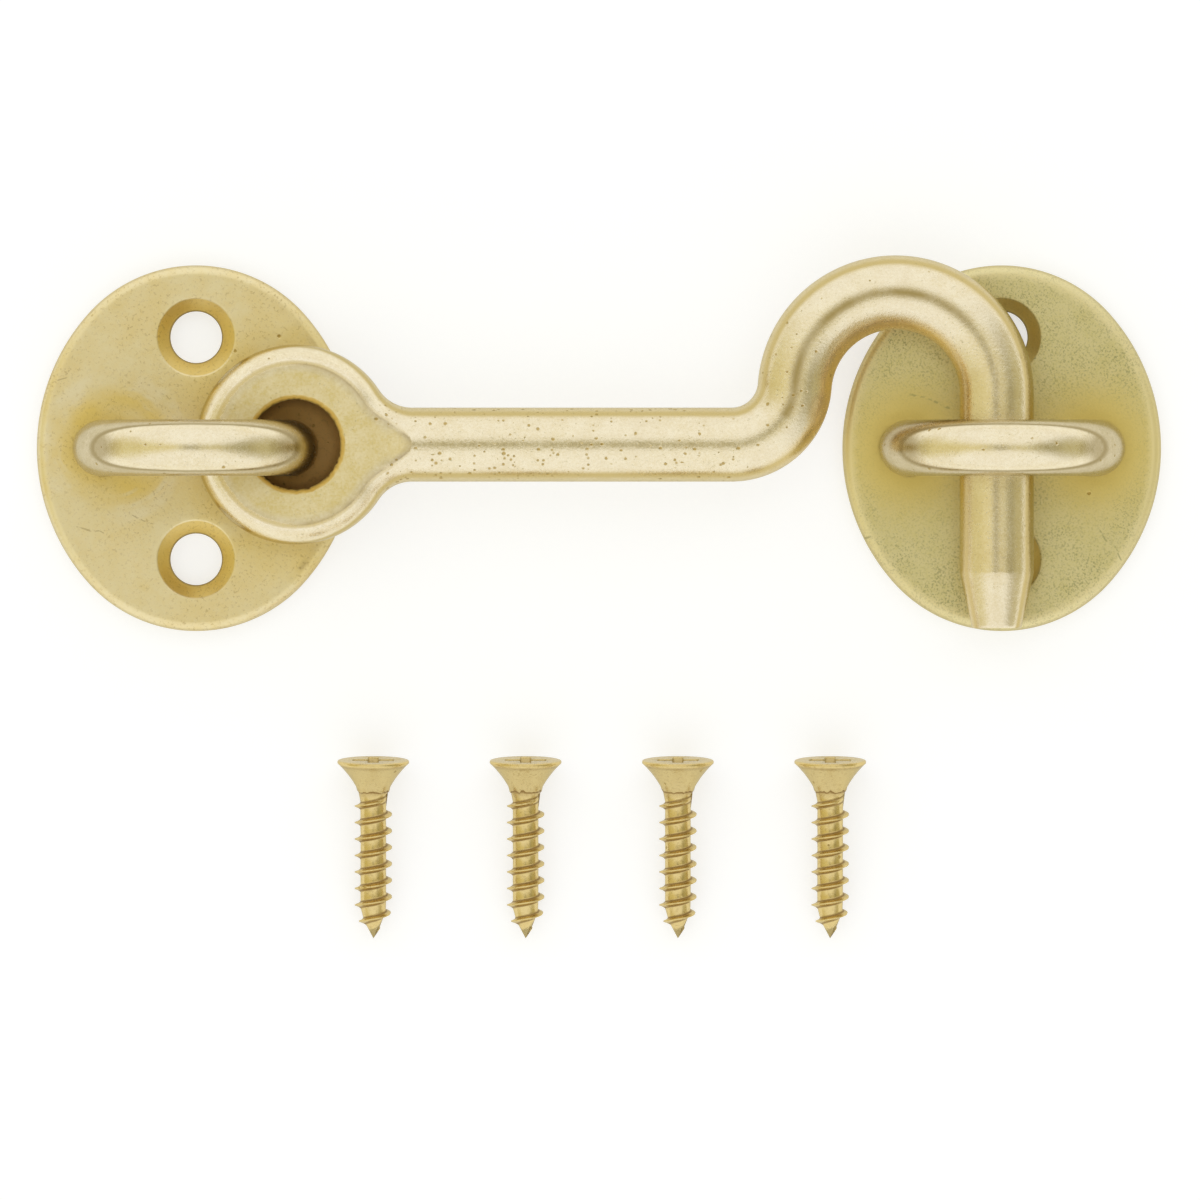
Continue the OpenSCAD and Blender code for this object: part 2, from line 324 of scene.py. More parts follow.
# The hook: flat teardrop eye, hollow neck, round rod, S-bend, straight leg and tapered tip
hookShape = dict(
    eyePlace=(8.9, 0.3, 5.8), eyeRadius=8.9, boreRadius=4.0, rodRadius=3.3, neckRadius=3.5, flatDepth=0.4,
    flatRunout=2.0, shankLength=38.8, bendRadius=5.65, riseAngle=85.7, archRadius=9.0, legLength=20.9,
    tipLength=4.9, tipRadius=2.2, crease=0.1, boreBevel=0.5, quarterSteps=24, neckSteps=30, eyeSteps=200,
    flatSteps=12, rodSteps=130, bendSteps=44, archSteps=130, legSteps=70, tipSteps=16)
eyeShadeAndWear = dict(
    rimStart=0.46, rimRise=0.28, lineReach=0.34, lineFade=0.12, lineShade=0.85, lineEase=0.6, flatDull=0.15,
    backShade=0.8, boreMatte=0.3, leastCreaseDarkening=0.06, creaseDarkening=0.24, creaseRange=0.3, creaseScale=0.7)
rodShadeAndReflection = dict(
    legGlow=0.2, glowEase=0.8, warm=0.95, warmBelow=0.8, warmFade=0.24, crownAbove=0.9, crownWidth=0.45,
    crownReflection=0.3, crownReflectionDark=0.28, patch=0.9, patchRange=0.8, patchScale=0.5, archGlow=0.36, archFade=0.1)


def softMin(a, b, k):
    if k < 1e-6:
        return min(a, b)
    h = max(k - abs(a - b), 0) / k
    return min(a, b) - h * h * k * 0.25


# casting pits on the neck and the straight rod, and places (x, y, reach) where they gather
pitSpread = dict(everywhere=0.04, onRod=0.8, inGroups=3.0, groups=(
    (9.0, -2.9, 1.5), (8.7, 2.5, 1.0), (12.3, -1.6, 1.3), (18.7, -1.3, 1.4), (20.1, 0.9, 1.2),
    (22.9, -0.8, 0.9), (25.8, -1.6, 1.0), (26.5, 1.5, 0.9), (31.3, 2.0, 1.2), (34.4, -1.0, 1.1),
    (37.7, -2.1, 0.7), (44.8, 4.2, 1.1)))


def pitted(x, y):
    s = pitSpread
    along = clamp((x - 6) / 5) * clamp((46 - x) / 8)
    gathered = sum(math.exp(-((x - gx) ** 2 + (y - gy) ** 2) / reach ** 2) for gx, gy, reach in s["groups"])
    return s["everywhere"] + s["onRod"] * along + s["inGroups"] * gathered


def buildEye(skin, s):
    w = eyeShadeAndWear
    rod, eye, neck = s["rodRadius"], s["eyeRadius"], s["neckRadius"]
    neckY = rod + neck
    neckX = math.sqrt((eye + neck) ** 2 - neckY ** 2)
    lean = math.atan2(neckY, neckX)
    flatZ = rod - s["flatDepth"]
    runStart = neckX - s["flatRunout"]

    # outline as a function of inset: two hollow neck arcs and the eye's arc between them
    spokes = []
    for i in range(s["neckSteps"]):
        a = 1.5 * math.pi - (0.5 * math.pi - lean) * i / s["neckSteps"]
        spokes.append(lambda d, a=a: (neckX + (neck + d) * math.cos(a), neckY + (neck + d) * math.sin(a)))
    for i in range(s["eyeSteps"] + 1):
        a = lean + (2 * math.pi - 2 * lean) * i / s["eyeSteps"]
        spokes.append(lambda d, a=a: ((eye - d) * math.cos(a), (eye - d) * math.sin(a)))
    for i in range(1, s["neckSteps"] + 1):
        a = 0.5 * math.pi + (0.5 * math.pi - lean) * (1 - i / s["neckSteps"])
        spokes.append(lambda d, a=a: (neckX + (neck + d) * math.cos(a), -neckY + (neck + d) * math.sin(a)))

    def flatAt(x, y):
        return min(rod, flatZ + max(0.0, math.hypot(x, y) - runStart) * s["flatDepth"] / s["flatRunout"])

    def height(d, x, y):
        face = flatAt(x, y)
        inset = min(d, rod)
        dome = math.sqrt(max(0.0, rod ** 2 - (rod - inset) ** 2))
        return softMin(dome, face, s["crease"] * (rod - face) / s["flatDepth"])

    columns = {1: [], -1: []}
    quarter = s["quarterSteps"]
    for number, spoke in enumerate(spokes):
        low, high = 0.0, rod
        for _ in range(40):
            d = (low + high) / 2
            dome = math.sqrt(rod ** 2 - (rod - d) ** 2)
            low, high = (d, high) if dome < flatAt(*spoke(d)) else (low, d)
        top = math.acos(max(0.0, 1 - low / rod)) if low < rod - 1e-6 else math.pi / 2
        creaseX, creaseY = spoke(low)
        onRight = clamp((creaseX + 0.6) / 1.6)  # darker along the crease beside the flat, on the side towards the rod
        uneven = w["creaseRange"] * lumps(creaseX * w["creaseScale"], creaseY * w["creaseScale"], 3.1)
        creaseDarkening = onRight * max(w["leastCreaseDarkening"], w["creaseDarkening"] + uneven)

        # one column of points per spoke, from the outline up the rim: x, y, z, golden, dirt and painted
        # shade, matte, warm
        column = []
        for k in range(quarter + 1):
            d = rod * (1 - math.cos(top * k / quarter))
            x, y = spoke(d)
            towardsRod = clamp((x - 2) / (neckX - 2))
            # painted shade: the rim darkens down its sides, partly as a patina
            golden = sideShadeAndPatina(math.sin(top * k / quarter), start=w["rimStart"] + w["rimRise"] * towardsRod)
            line = clamp((d - low + w["lineReach"]) / w["lineFade"])  # painted shade: a dark line beside the flat
            golden = max(golden, w["lineShade"] * (1 - w["lineEase"] * towardsRod) * line)
            dirtAndShade = creaseDarkening if k == quarter else 0.0
            column.append((x, y, height(d, x, y) if k else 0.0, golden, dirtAndShade, 0.0, 0.0))
        if number in (0, len(spokes) - 1):
            creaseX, creaseY = neckX, 0.0
        reach, a = math.hypot(creaseX, creaseY), math.atan2(creaseY, creaseX)
        bore = s["boreRadius"]
        bevelTop = bore + s["boreBevel"]
        for k in range(1, s["flatSteps"] + 1):  # across the flat to the bore
            part = (k / s["flatSteps"]) ** 0.8
            r = reach + (bevelTop - reach) * part
            x, y = r * math.cos(a), r * math.sin(a)
            onFlat = min(1.0, k / 3)
            z = height(low + (reach - r), x, y)
            column.append((x, y, z, w["flatDull"] * onFlat, 0.0, onFlat, 0.0))
        c, q = math.cos(a), math.sin(a)
        chip = 0.09 * lumps(c * 6, q * 6, 1.7)  # chipped edge of the bore
        chip += 0.07 * lumps(c * 15, q * 15, 4.2)
        # painted shade in the bore, uneven round it
        boreShade = max(0.0, 0.35 + 1.3 * lumps(c * 9, q * 9, 7.1))
        # the bore's bevel gets a warm painted reflection, its walls warm painted shade
        for r, z, dirtAndShade, warm in (
                (bore + 0.38 + chip, flatZ - 0.02, 0.0, 0.5),
                (bore + 0.22 + chip, flatZ - 0.12, 0.0, 1.0),
                (bore + 0.12 + 0.7 * chip, flatZ - 0.24, 0.8 * boreShade, 1.0),
                (bore + 0.03 + 0.3 * chip, flatZ - 0.38, 0.3 + boreShade, 0.8),
                (bore, flatZ - 0.6, 0.6 + 0.4 * boreShade, 0.6),
                (bore, flatZ - 1.2, 0.8, 0.5),
                (bore, 0.0, 0.8, 0.5)):
            column.append((r * c, r * q, z, 1.0, dirtAndShade, w["boreMatte"], warm))
        for face in (1, -1):
            row = []
            for x, y, z, golden, dirtAndShade, matte, warm in column:
                # painted shade: the back face is darker
                golden = golden if face > 0 else max(golden, w["backShade"])
                pits = pitted(x, y) * (1 - 0.8 * matte)
                row.append(skin.add(x, y, face * z, golden, dirtAndShade, pits, matte, warm))
            columns[face].append(row)
    for face in (1, -1):
        skin.loft(columns[face], closed=False)
    return neckX


def buildHook(name):
    s, w = hookShape, rodShadeAndReflection
    skin = Skin()
    rod = s["rodRadius"]
    neckX = buildEye(skin, s)
    rise = math.radians(s["riseAngle"])
    bend, arch, shank = s["bendRadius"], s["archRadius"], s["shankLength"]
    archX = shank + (bend + arch) * math.sin(rise)
    archY = bend - (bend + arch) * math.cos(rise)

    # stations along the centre line: place, heading, radius, and how much warm painted reflection the side in
    # the arch's hollow gets
    count = s["rodSteps"]
    stations = [(neckX + (shank - neckX) * i / count, 0.0, 0.0, rod, 0) for i in range(count)]
    count = s["bendSteps"]
    for i in range(count):
        a = rise * i / count
        stations.append((shank + bend * math.sin(a), bend - bend * math.cos(a), a, rod, (i / count) ** 2))
    count = s["archSteps"]
    for i in range(count):
        a = rise - (rise + math.pi / 2) * i / count
        glow = 1 - (1 - w["legGlow"]) * i / count
        stations.append((archX - arch * math.sin(a), archY + arch * math.cos(a), a, rod, glow))

    # down the leg to the tip: drop and radius
    end, tip = s["legLength"], s["tipRadius"]
    straight = end - s["tipLength"]
    count = s["legSteps"]
    fall = [(straight * i / count, rod) for i in range(count)]
    fall += [(straight - 0.12, rod), (straight, rod - 0.012), (straight + 0.12, rod - 0.035)]
    count = s["tipSteps"]
    fall += [(straight + s["tipLength"] * i / count, rod + (tip - rod) * i / count) for i in range(1, count)]
    fall += [(end - 0.16, tip + 0.03), (end - 0.06, tip - 0.03), (end - 0.015, tip - 0.1), (end, tip - 0.22)]
    fall += [(end, tip * 0.55)]
    for drop, r in fall:
        glow = w["legGlow"] - 0.1 * min(1.0, drop / 4)
        stations.append((archX + arch, archY - drop, -math.pi / 2, r, glow))

    rows = []
    steps = 4 * s["quarterSteps"]
    for x, y, heading, r, glow in stations:
        sideX, sideY = -math.sin(heading), math.cos(heading)
        row = []
        for j in range(steps):
            b = 2 * math.pi * j / steps
            side, up = r * math.cos(b), math.sin(b)
            # painted reflection: the side in the arch's hollow glows warm below its crown
            glowHere = glow if side < 0 else 0.0
            warm = w["warm"] * glowHere * clamp((w["warmBelow"] - up) / w["warmFade"])
            px, py = x + sideX * side, y + sideY * side
            line = 0.0  # painted reflection: a dark line on the crown, strongest on the arch
            if up > w["crownAbove"]:
                uneven = w["patchRange"] * lumps(px * w["patchScale"], py * w["patchScale"], 5.5)
                line = min(1.0, w["patch"] + uneven) * bell(side, w["crownWidth"])
            crown = line * clamp((glow - w["archGlow"]) / w["archFade"])
            golden = max(crown, w["crownReflection"] * line, sideShadeAndPatina(up, 1 - w["glowEase"] * glowHere))
            dirtAndShade = w["crownReflectionDark"] * crown
            row.append(skin.add(px, py, r * up, golden, dirtAndShade, pitted(px, py), 0.0, warm))
        rows.append(row)
    skin.loft(rows)
    skin.fan(rows[-1], skin.add(archX + arch, archY - end, 0))
    return skin.toObject(name, lambda p: p + np.array(s["eyePlace"]))


# Countersunk wood screw: cross recess, hollow underside, burr under the head, thin-crested thread
screwShape = dict(
    length=16.0, headRadius=3.2, headHeight=2.8, headRim=0.25, hollow=0.18, neckRadius=1.35,
    threadRadius=1.675, coreRadius=1.15, pitch=1.48, crest=0.1, flank=0.34, pointLength=2.9, threadShare=0.6,
    recessArm=0.95, recessSpan=3.6, recessDepth=1.8, burrRipple=0.05, burrWander=0.26, coreRough=0.035,
    turnSteps=48, armSteps=4, faceGrid=0.45, firstX=15.8, spacing=13.57, row=27.8)


def crossLoop(span, arm, steps):
    half, side = span / 2, arm / 2
    quarterCorners = [(half, -side), (half, side), (side, side)]
    corners = []
    for turn in range(4):
        c, q = (1, 0, -1, 0)[turn], (0, 1, 0, -1)[turn]
        corners += [(c * x - q * y, q * x + c * y) for x, y in quarterCorners]
    loop = []
    for (ax, ay), (bx, by) in zip(corners, corners[1:] + corners[:1]):
        loop += [(ax + (bx - ax) * i / steps, ay + (by - ay) * i / steps) for i in range(steps)]
    return loop


def buildScrew(name, number):
    s = screwShape
    skin = Skin()
    steps = s["turnSteps"]
    head, rim, neck = s["headRadius"], s["headRim"], s["neckRadius"]

    def ring(r, z, golden=0.3, dirtAndShade=0.0, ripple=0.0, wander=0.0):
        row = []
        for i in range(steps):
            a = -2 * math.pi * i / steps
            wave = lumps(math.cos(a) * 4.5, math.sin(a) * 4.5, 1.7 * number)
            rr = r + ripple * wave
            row.append(skin.add(rr * math.cos(a), rr * math.sin(a), z + wander * wave, golden, dirtAndShade))
        return row

    # rim of the head, hollow underside, burr, with a painted shade line just under the rim and a dark painted
    # shade line in the burr
    rows = [
        ring(head - 0.14, 0.0, 0.0), ring(head - 0.04, -0.03, 0.0),
        ring(head, -0.1, 0.0), ring(head, -rim, 0.1)]
    for k in range(1, 11):
        part = k / 12
        r = head - 0.02 + (neck - head) * part - 4 * s["hollow"] * part * (1 - part)
        z = -rim - (s["headHeight"] - rim) * part
        rows.append(ring(r, z, 1.0 - 0.3 * part, 0.25 if k == 1 else 0.0))
    burr, ripple, wander = -s["headHeight"], s["burrRipple"], s["burrWander"]
    rows += [
        ring(neck + 0.11, burr + 0.13, 0.6, 0.1, ripple, wander),
        ring(neck + 0.05, burr + 0.05, 0.5, 1.0, ripple, wander),
        ring(neck - 0.04, burr - 0.1, 0.3, 0.2)]
    skin.loft(rows)
    lastRing = rows[-1]

    # face of the head with its recess, darker the deeper it goes as painted shade
    recess = []
    for depth, span, arm, dirtAndShade in (
            (0.0, 1.04, 1.06, 0.0), (0.05, 1.0, 1.0, 0.2), (0.5, 0.82, 0.96, 0.4), (1.0, 0.45, 0.9, 0.6)):
        loop = crossLoop(s["recessSpan"] * span, s["recessArm"] * arm, s["armSteps"])
        recess.append([skin.add(x, y, -depth * s["recessDepth"], 0.4, dirtAndShade) for x, y in loop])
    skin.loft(recess)
    skin.fan(recess[-1], skin.add(0, 0, -s["recessDepth"], 0.4, 0.7))
    fillFace(skin, rows[0], [recess[0]], s["faceGrid"], lambda x, y: 0.0, lambda x, y: (0.1, 0.0))

    # core and thread as one helical skin: the foot of each turn is the root of the next
    full = s["length"] - s["pointLength"]
    start = s["headHeight"] + s["pitch"] / 8
    stop = full + s["threadShare"] * s["pointLength"]
    count = int((stop - start) / s["pitch"] * steps)
    fade = steps / 2
    flank, crest = s["flank"], s["crest"]
    profile = (  # along the flank, up the ridge, and the painted shadow line at its foot
        (0, 0, 0.0), (0.18, 0.03, 0.35), (0.42, 0.16, 0.9), (0.66, 0.42, 0.15), (0.93, 0.9, 0.0), (1, 1, 0.0))
    section = [(flank * part, rise, dirtAndShade) for part, rise, dirtAndShade in profile]
    section += [(2 * flank + crest - along, rise, dirtAndShade) for along, rise, dirtAndShade in reversed(section)]

    def coreAt(depth):
        return s["coreRadius"] * (1 - clamp((depth - full) / s["pointLength"]) ** 1.5)

    helix = []
    for step in range(count + 1):
        a = -2 * math.pi * step / steps
        depth = start + s["pitch"] * step / steps
        ridge = (s["threadRadius"] - s["coreRadius"]) * min(1, step / fade, (count + 4 - step) / fade)
        row = []
        for along, rise, dirtAndShade in section:
            d = depth + along
            rough = s["coreRough"] * abs(lumps(math.cos(a) * 3, math.sin(a) * 3, d * 2.5 + 9 * number))
            r = coreAt(d) + ridge * rise - rough * min(1, step / fade, coreAt(d))
            row.append(skin.add(r * math.cos(a), r * math.sin(a), -d, 0.1, dirtAndShade))
        helix.append(row)
    tip = skin.add(0, 0, -s["length"], 0.0, 0.0)
    for i in range(steps - 1):
        skin.faces.append((lastRing[i], lastRing[i + 1], helix[i + 1][0], helix[i][0]))
    seam = helix[steps - 1][0]
    border = [helix[steps][0]] + list(reversed(helix[0])) + [lastRing[0], lastRing[steps - 1]]
    for a, b in zip(border, border[1:]):
        skin.faces.append((seam, a, b))
    skin.loft(helix, closed=False)
    for i in range(count - steps):
        skin.faces.append((helix[i][-1], helix[i + 1][-1], helix[i + 1 + steps][0], helix[i + steps][0]))
    for i in range(count - steps, count):
        skin.faces.append((helix[i][-1], helix[i + 1][-1], tip))
    border = [helix[count - steps][-1]] + helix[count]
    for a, b in zip(border, border[1:]):
        skin.faces.append((tip, a, b))

    # it lies on its head's rim and on its last full turn of thread
    lean = math.atan((head - s["threadRadius"]) / (full - rim))
    lift = head * math.cos(lean) + rim * math.sin(lean)
    middle = s["firstX"] + (number - 1) * s["spacing"]

    def lay(p):
        y = p[:, 1] * math.sin(lean) + p[:, 2] * math.cos(lean)
        z = -p[:, 1] * math.cos(lean) + p[:, 2] * math.sin(lean)
        return np.stack([p[:, 0] + middle, y - s["row"], z + lift], axis=1)

    return skin.toObject(name, lay)


# Shader node groups shared by the brass finishes
def newGroup(name, inputs, outputs):
    group = bpy.data.node_groups.new(name, "ShaderNodeTree")
    for label, value in inputs:
        socket = group.interface.new_socket(name=label, in_out="INPUT", socket_type="NodeSocketFloat")
        socket.default_value = value
    for label in outputs:
        group.interface.new_socket(name=label, in_out="OUTPUT", socket_type="NodeSocketFloat")
    inNode = group.nodes.new("NodeGroupInput")
    outNode = group.nodes.new("NodeGroupOutput")
    coords = group.nodes.new("ShaderNodeTexCoord")
    return group, inNode, outNode, coords.outputs["Object"]


def math2(tree, operation, a, b=None, clamp=False, c=None):
    node = tree.nodes.new("ShaderNodeMath")
    node.operation = operation
    node.use_clamp = clamp
    for socket, value in zip(node.inputs, (a, b, c)):
        if value is None:
            continue
        if hasattr(value, "is_linked"):
            tree.links.new(value, socket)
        else:
            socket.default_value = value
    return node.outputs[0]


def ramp(tree, value, low, high, toLow=0.0, toHigh=1.0):
    node = tree.nodes.new("ShaderNodeMapRange")
    node.interpolation_type = "SMOOTHSTEP"
    for socket, item in zip(node.inputs, (value, low, high, toLow, toHigh)):
        if hasattr(item, "is_linked"):
            tree.links.new(item, socket)
        else:
            socket.default_value = item
    return node.outputs["Result"]


def mixColor(tree, factor, a, b):
    node = tree.nodes.new("ShaderNodeMix")
    node.data_type = "RGBA"
    tree.links.new(factor, node.inputs["Factor"])
    for socket, value in ((node.inputs[6], a), (node.inputs[7], b)):
        if hasattr(value, "is_linked"):
            tree.links.new(value, socket)
        else:
            socket.default_value = (*value, 1)
    return node.outputs[2]


def noiseAt(tree, coords, scale, detail=2.0, roughness=0.5):
    node = tree.nodes.new("ShaderNodeTexNoise")
    tree.links.new(coords, node.inputs["Vector"])
    if hasattr(scale, "is_linked"):
        tree.links.new(scale, node.inputs["Scale"])
    else:
        node.inputs["Scale"].default_value = scale
    node.inputs["Detail"].default_value = detail
    node.inputs["Roughness"].default_value = roughness
    return node.outputs["Fac"]


# fine tumbled grain: a tone for colour and roughness, and a height for the bump
def makeSatinGrain():
    group, inNode, outNode, coords = newGroup("satinGrain", [("Scale", 5200.0)], ["Tone", "Height"])
    fine = noiseAt(group, coords, inNode.outputs["Scale"], 3.0, 0.6)
    broad = noiseAt(group, coords, math2(group, "MULTIPLY", inNode.outputs["Scale"], 0.16), 2.0)
    tone = math2(group, "ADD", math2(group, "MULTIPLY", fine, 0.6), math2(group, "MULTIPLY", broad, 0.4))
    group.links.new(ramp(group, tone, 0.3, 0.7), outNode.inputs["Tone"])
    group.links.new(tone, outNode.inputs["Height"])
    return group


# sparse round casting pits: a share of the cells of a Voronoi pattern holds one
def makeCastPits():
    group, inNode, outNode, coords = newGroup(
        "castPits", [("Scale", 700.0), ("Share", 0.2), ("Size", 0.18)], ["Mask", "Height"])
    cells = group.nodes.new("ShaderNodeTexVoronoi")
    group.links.new(coords, cells.inputs["Vector"])
    group.links.new(inNode.outputs["Scale"], cells.inputs["Scale"])
    pick = group.nodes.new("ShaderNodeSeparateColor")
    group.links.new(cells.outputs["Color"], pick.inputs[0])
    chosen = math2(group, "LESS_THAN", pick.outputs[0], inNode.outputs["Share"])
    size = math2(group, "MULTIPLY", inNode.outputs["Size"], math2(group, "ADD", pick.outputs[1], 0.45))
    spot = ramp(group, cells.outputs["Distance"], math2(group, "MULTIPLY", size, 0.4), size, 1.0, 0.0)
    mask = math2(group, "MULTIPLY", spot, chosen)
    group.links.new(mask, outNode.inputs["Mask"])
    group.links.new(math2(group, "MULTIPLY", mask, -1.0), outNode.inputs["Height"])
    return group


# uneven tarnish in soft clouds, and the dark specks that gather in it
def makeTarnish():
    group, inNode, outNode, coords = newGroup(
        "tarnish", [("Scale", 160.0), ("Speck Scale", 3600.0), ("Speck Share", 0.4)], ["Clouds", "Specks"])
    clouds = noiseAt(group, coords, inNode.outputs["Scale"], 5.0, 0.75)
    turned = group.nodes.new("ShaderNodeMapping")  # keeps the noise's own grid out of flat faces
    turned.inputs["Rotation"].default_value = (0.5, 0.35, 0.8)
    group.links.new(coords, turned.inputs["Vector"])
    specks = noiseAt(group, turned.outputs[0], inNode.outputs["Speck Scale"], 4.0, 0.7)
    soft = ramp(group, clouds, 0.35, 0.65)
    edge = math2(group, "SUBTRACT", 0.78, math2(group, "MULTIPLY", inNode.outputs["Speck Share"], 0.4))
    grains = ramp(group, specks, math2(group, "SUBTRACT", edge, 0.06), math2(group, "ADD", edge, 0.04))
    gathered = math2(group, "ADD", math2(group, "MULTIPLY", soft, 0.7), 0.3)
    group.links.new(soft, outNode.inputs["Clouds"])
    group.links.new(math2(group, "MULTIPLY", grains, gathered), outNode.inputs["Specks"])
    return group


# place in a plate's face, measured from a centre, with a slight waver: across, along
waver = dict(scale=500.0, width=0.0008)


def wavering(group, inNode, coords):
    split = group.nodes.new("ShaderNodeSeparateXYZ")
    group.links.new(coords, split.inputs[0])
    x = math2(group, "SUBTRACT", split.outputs[0], inNode.outputs["X"])
    y = math2(group, "SUBTRACT", split.outputs[1], inNode.outputs["Y"])
    fold = noiseAt(group, coords, waver["scale"])
    sway = math2(group, "MULTIPLY_ADD", fold, waver["width"], False, -waver["width"] / 2)
    return math2(group, "ADD", x, sway), math2(group, "ADD", y, sway)


# 1 where a distance is well inside a limit, fading to 0 at the limit
def within(group, distance, share, limit):
    inner = math2(group, "MULTIPLY", limit, share)
    return ramp(group, math2(group, "ABSOLUTE", distance), inner, limit, 1.0, 0.0)


# one broken scratch across a plate
def makeScratch():
    group, inNode, outNode, coords = newGroup(
        "scratch", [("X", 0.0), ("Y", 0.0), ("Angle", 0.0), ("Length", 0.004), ("Width", 0.00012)], ["Mask"])
    x, y = wavering(group, inNode, coords)
    c = math2(group, "COSINE", inNode.outputs["Angle"])
    q = math2(group, "SINE", inNode.outputs["Angle"])
    along = math2(group, "ADD", math2(group, "MULTIPLY", x, c), math2(group, "MULTIPLY", y, q))
    across = math2(group, "SUBTRACT", math2(group, "MULTIPLY", y, c), math2(group, "MULTIPLY", x, q))
    half = math2(group, "MULTIPLY", inNode.outputs["Length"], 0.5)
    line = within(group, across, 0.3, inNode.outputs["Width"])
    line = math2(group, "MULTIPLY", line, within(group, along, 0.7, half))
    broken = ramp(group, noiseAt(group, coords, 1900.0, 2.0), 0.4, 0.55)
    group.links.new(math2(group, "MULTIPLY", line, broken), outNode.inputs["Mask"])
    return group


# part of a ring that the hook's eye has rubbed on a plate
def makeRubRing():
    group, inNode, outNode, coords = newGroup(
        "rubRing", [("X", 0.0), ("Y", 0.0), ("Radius", 0.005), ("Width", 0.0003)], ["Mask"])
    x, y = wavering(group, inNode, coords)
    square = math2(group, "ADD", math2(group, "MULTIPLY", x, x), math2(group, "MULTIPLY", y, y))
    off = math2(group, "SUBTRACT", math2(group, "SQRT", square), inNode.outputs["Radius"])
    line = within(group, off, 0.2, inNode.outputs["Width"])
    patches = ramp(group, noiseAt(group, coords, 260.0, 3.0), 0.42, 0.62)
    group.links.new(math2(group, "MULTIPLY", line, patches), outNode.inputs["Mask"])
    return group


satinGrain, castPits, tarnish = makeSatinGrain(), makeCastPits(), makeTarnish()
scratch, rubRing = makeScratch(), makeRubRing()
print("node groups made")


def brassFinish(name, look):
    material = bpy.data.materials.new(name)
    material.use_nodes = True
    tree = material.node_tree
    shader = tree.nodes["Principled BSDF"]
    shader.inputs["Specular IOR Level"].default_value = look["dirtAndShadeGloss"]  # for the dirt and painted shade, which isn't metal
    shader.inputs["Coat Roughness"].default_value = look["coatRoughness"]
    shader.inputs["Specular Tint"].default_value = (*look["edge"], 1)  # reflectance at grazing angles

    def place(group, **values):
        node = tree.nodes.new("ShaderNodeGroup")
        node.node_tree = group
        for label, value in values.items():
            node.inputs[label.replace("_", " ")].default_value = value
        return node

    def mark(label):
        node = tree.nodes.new("ShaderNodeAttribute")
        node.attribute_name = label
        return node.outputs["Fac"]

    def layer(color, amount, mask, over):
        return mixColor(tree, math2(tree, "MULTIPLY", mask, amount, True), color, over)

    def sumUp(first, *terms):
        total = first
        for value, amount in terms:
            total = math2(tree, "MULTIPLY_ADD", value, amount, False, total)
        return total

    grain = place(satinGrain, Scale=look["grainScale"])
    pits = place(castPits, Scale=look["pitScale"], Size=look["pitSize"])
    patina = place(
        tarnish, Scale=look["cloudScale"], Speck_Scale=look["speckScale"], Speck_Share=look["speckShare"])
    golden, dirtAndShade, matte, warm = mark("golden"), mark("dirtAndShade"), mark("matte"), mark("warm")
    tree.links.new(math2(tree, "MULTIPLY", mark("pitted"), look["pitShare"]), pits.inputs["Share"])
    cleared = math2(tree, "MULTIPLY", math2(tree, "ADD", golden, matte), look["clearing"])
    clear = math2(tree, "SUBTRACT", 1.0, cleared, True)
    specks = math2(tree, "MULTIPLY", patina.outputs["Specks"], clear)

    color = layer(look["pale"], look["cloudAmount"], patina.outputs["Clouds"], look["cloud"])
    # golden: patina, with painted side shade, crown lines and reflections
    color = layer(color, look["goldenAmount"], golden, look["golden"])
    color = layer(color, look["matteAmount"], matte, look["matte"])
    grainOffGolden = math2(tree, "MULTIPLY", grain.outputs["Tone"], math2(tree, "SUBTRACT", 1.0, golden, True))
    color = layer(color, look["grainAmount"], grainOffGolden, look["grain"])
    # warm painted reflection and shade
    color = layer(color, look["warmAmount"], warm, look["warm"])
    for x, y, radius, width, amount in look["rings"]:
        ring = place(rubRing, X=x * mm, Y=y * mm, Radius=radius * mm, Width=width * mm)
        color = layer(color, amount, ring.outputs["Mask"], look["rub"])
    color = layer(color, look["speckAmount"], specks, look["speck"])
    for x, y, angle, length, width in look["scratches"]:
        turn = math.radians(angle)
        line = place(scratch, X=x * mm, Y=y * mm, Angle=turn, Length=length * mm, Width=width * mm)
        color = layer(color, look["scratchAmount"], line.outputs["Mask"], look["speck"])
    color = layer(color, look["pitAmount"], pits.outputs["Mask"], look["pit"])
    # dirt and painted shade, dark brown
    color = layer(color, look["dirtAndShadeAmount"], dirtAndShade, look["dirtAndShade"])
    tree.links.new(color, shader.inputs["Base Color"])
    # the warm painted reflection and shade isn't metal either
    bare = math2(tree, "MULTIPLY_ADD", warm, -look["warmLightCover"], True, 1.0)
    clean = math2(tree, "MULTIPLY_ADD", dirtAndShade, -look["dirtAndShadeCover"], True, bare)
    tree.links.new(clean, shader.inputs["Metallic"])
    tree.links.new(math2(tree, "MULTIPLY", clean, look["coat"]), shader.inputs["Coat Weight"])

    rough = sumUp(
        look["roughness"], (grain.outputs["Tone"], look["grainRough"]), (specks, look["speckRough"]),
        (dirtAndShade, look["dirtAndShadeRough"]), (matte, look["matteRough"]))
    tree.links.new(rough, shader.inputs["Roughness"])

    height = math2(tree, "MULTIPLY", grain.outputs["Height"], look["grainHeight"])
    height = sumUp(height, (pits.outputs["Height"], look["pitHeight"]), (specks, -look["speckDepth"]))
    bump = tree.nodes.new("ShaderNodeBump")
    bump.inputs["Strength"].default_value = 1.0
    bump.inputs["Distance"].default_value = mm
    tree.links.new(height, bump.inputs["Height"])
    tree.links.new(bump.outputs["Normal"], shader.inputs["Normal"])
    return material


